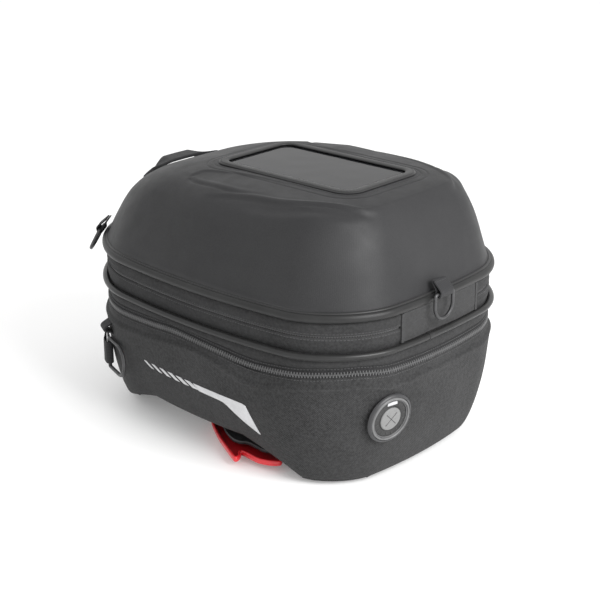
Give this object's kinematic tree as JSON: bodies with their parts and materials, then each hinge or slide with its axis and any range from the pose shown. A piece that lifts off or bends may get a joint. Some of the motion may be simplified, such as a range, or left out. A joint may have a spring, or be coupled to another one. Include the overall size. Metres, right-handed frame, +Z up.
{
  "type": "motorcycle tank bag",
  "caption": "Expandable semi-rigid tank bag with a zipped domed lid, phone window, cable port, D-rings and a quick-release lock socket underneath.",
  "frame": {"origin": "on the ground under the middle of the bag", "axes": "+X along the bag to the rider's end with the cable port and lid hinge, +Y to the left side seen from that end, +Z up"},
  "size_m": [0.376, 0.2722, 0.2453],
  "materials": {
    "lid_skin": "matte moulded skin",
    "textile": "coated woven polyester",
    "webbing": "woven webbing",
    "trim": "satin moulded edging",
    "zip": "moulded coil teeth",
    "black_plastic": "fine grain",
    "rubber": "matte",
    "red_plastic": "glossy",
    "steel": "plain",
    "dark_metal": "dark satin",
    "silver_ring": "satin",
    "reflective": "reflective silver film",
    "clear_film": "clear touch-through film",
    "foam_board": "closed-cell foam board",
    "mesh_net": "open net"
  },
  "bodies": {
    "base": {"lower_shell": "textile", "floor_board": "foam_board", "lock_body": "black_plastic", "lock_cover": "black_plastic", "lock_backing_plate": "steel", "lock_screw_1": "steel", "lock_screw_2": "steel", "lock_screw_3": "steel", "lock_screw_4": "steel", "lock_spacer_1": "black_plastic", "lock_spacer_2": "black_plastic", "lock_spacer_3": "black_plastic", "lock_spacer_4": "black_plastic", "base_pad_front": "rubber", "base_pad_rear": "rubber", "expansion_zip_lower_chain": "zip", "expansion_gusset": "textile", "port_bezel": "black_plastic", "port_ring": "silver_ring", "port_grommet": "rubber", "reflective_strip_left": "reflective", "reflective_strip_right": "reflective", "return_spring_left": "steel", "return_spring_right": "steel", "tab_lower_left": "webbing", "tab_lower_right": "webbing"},
    "lever": {"release_lever": "red_plastic", "latch_bar": "steel"},
    "collar": {"expansion_zip_upper_chain": "zip", "collar_band": "textile", "lower_piping": "trim", "main_zip_lower_chain": "zip", "hinge_panel": "textile"},
    "lid": {"lid_shell": "lid_skin", "lid_trim": "trim", "lid_band": "textile", "main_zip_upper_chain": "zip", "window_frame": "trim", "window_film": "clear_film", "pocket_tray": "textile", "lid_mesh_pocket": "mesh_net", "carry_handle": "webbing", "tab_rear": "webbing", "tab_front_left": "webbing", "tab_front_right": "webbing"},
    "expansion_slider": {"expansion_zip_slider": "dark_metal"},
    "expansion_pull": {"expansion_zip_pull": "rubber"},
    "main_slider_left": {"main_zip_slider_left": "dark_metal"},
    "main_pull_left": {"main_zip_pull_left": "rubber"},
    "main_slider_right": {"main_zip_slider_right": "dark_metal"},
    "main_pull_right": {"main_zip_pull_right": "rubber"},
    "ring_rear": {"d_ring_rear": "dark_metal"},
    "ring_front_left": {"d_ring_front_left": "dark_metal"},
    "ring_front_right": {"d_ring_front_right": "dark_metal"},
    "ring_lower_left": {"d_ring_lower_left": "dark_metal"},
    "ring_lower_right": {"d_ring_lower_right": "dark_metal"}
  },
  "joints": [
    {"name": "lever_pull", "type": "slide", "parent": "base", "child": "lever", "axis": [0, -1, 0], "range_m": [0, 0.009], "stiffness_N_per_m": 400, "springref_m": -0.005},
    {"name": "expansion", "type": "slide", "parent": "base", "child": "collar", "axis": [0, 0, 1], "range_m": [0, 0.04], "deforming": ["expansion_gusset"]},
    {"name": "lid_hinge", "type": "hinge", "parent": "collar", "child": "lid", "pos_m": [0.1785, 0, 0.1435], "axis": [0, 1, 0], "range_deg": [0, 80]},
    {"name": "ring_rear_swing", "type": "hinge", "parent": "lid", "child": "ring_rear", "pos_m": [0.18602, -0.00772, 0.1645], "axis": [-0.0242, -0.9997, 0], "range_deg": [0, 100]},
    {"name": "ring_front_left_swing", "type": "hinge", "parent": "lid", "child": "ring_front_left", "pos_m": [-0.16514, 0.07936, 0.163], "axis": [0.5822, 0.813, 0], "range_deg": [0, 65]},
    {"name": "ring_front_right_swing", "type": "hinge", "parent": "lid", "child": "ring_front_right", "pos_m": [-0.16514, -0.07936, 0.163], "axis": [-0.5822, 0.813, 0], "range_deg": [0, 65]},
    {"name": "ring_lower_left_swing", "type": "hinge", "parent": "base", "child": "ring_lower_left", "pos_m": [-0.11808, 0.11683, 0.06], "axis": [0, 0, 1], "range_deg": [0, 90]},
    {"name": "ring_lower_right_swing", "type": "hinge", "parent": "base", "child": "ring_lower_right", "pos_m": [-0.11808, -0.11683, 0.06], "axis": [0, 0, -1], "range_deg": [0, 90]},
    {"name": "expansion_zip_travel", "type": "slide", "parent": "base", "child": "expansion_slider", "axis": [0.0306, 0.9995, 0], "range_m": [0, 0.02]},
    {"name": "expansion_pull_swing", "type": "hinge", "parent": "expansion_slider", "child": "expansion_pull", "pos_m": [-0.1856, 0.02629, 0.108], "axis": [0.0306, 0.9995, 0], "range_deg": [0, 90]},
    {"name": "main_zip_left_travel", "type": "slide", "parent": "collar", "child": "main_slider_left", "axis": [0.0306, 0.9995, 0], "range_m": [0, 0.02]},
    {"name": "main_pull_left_swing", "type": "hinge", "parent": "main_slider_left", "child": "main_pull_left", "pos_m": [-0.18403, 0.01223, 0.1435], "axis": [0.0306, 0.9995, 0], "range_deg": [0, 90]},
    {"name": "main_zip_right_travel", "type": "slide", "parent": "collar", "child": "main_slider_right", "axis": [0.0306, -0.9995, 0], "range_m": [0, 0.02]},
    {"name": "main_pull_right_swing", "type": "hinge", "parent": "main_slider_right", "child": "main_pull_right", "pos_m": [-0.18403, -0.01223, 0.1435], "axis": [-0.0306, 0.9995, 0], "range_deg": [0, 90]}
  ]
}
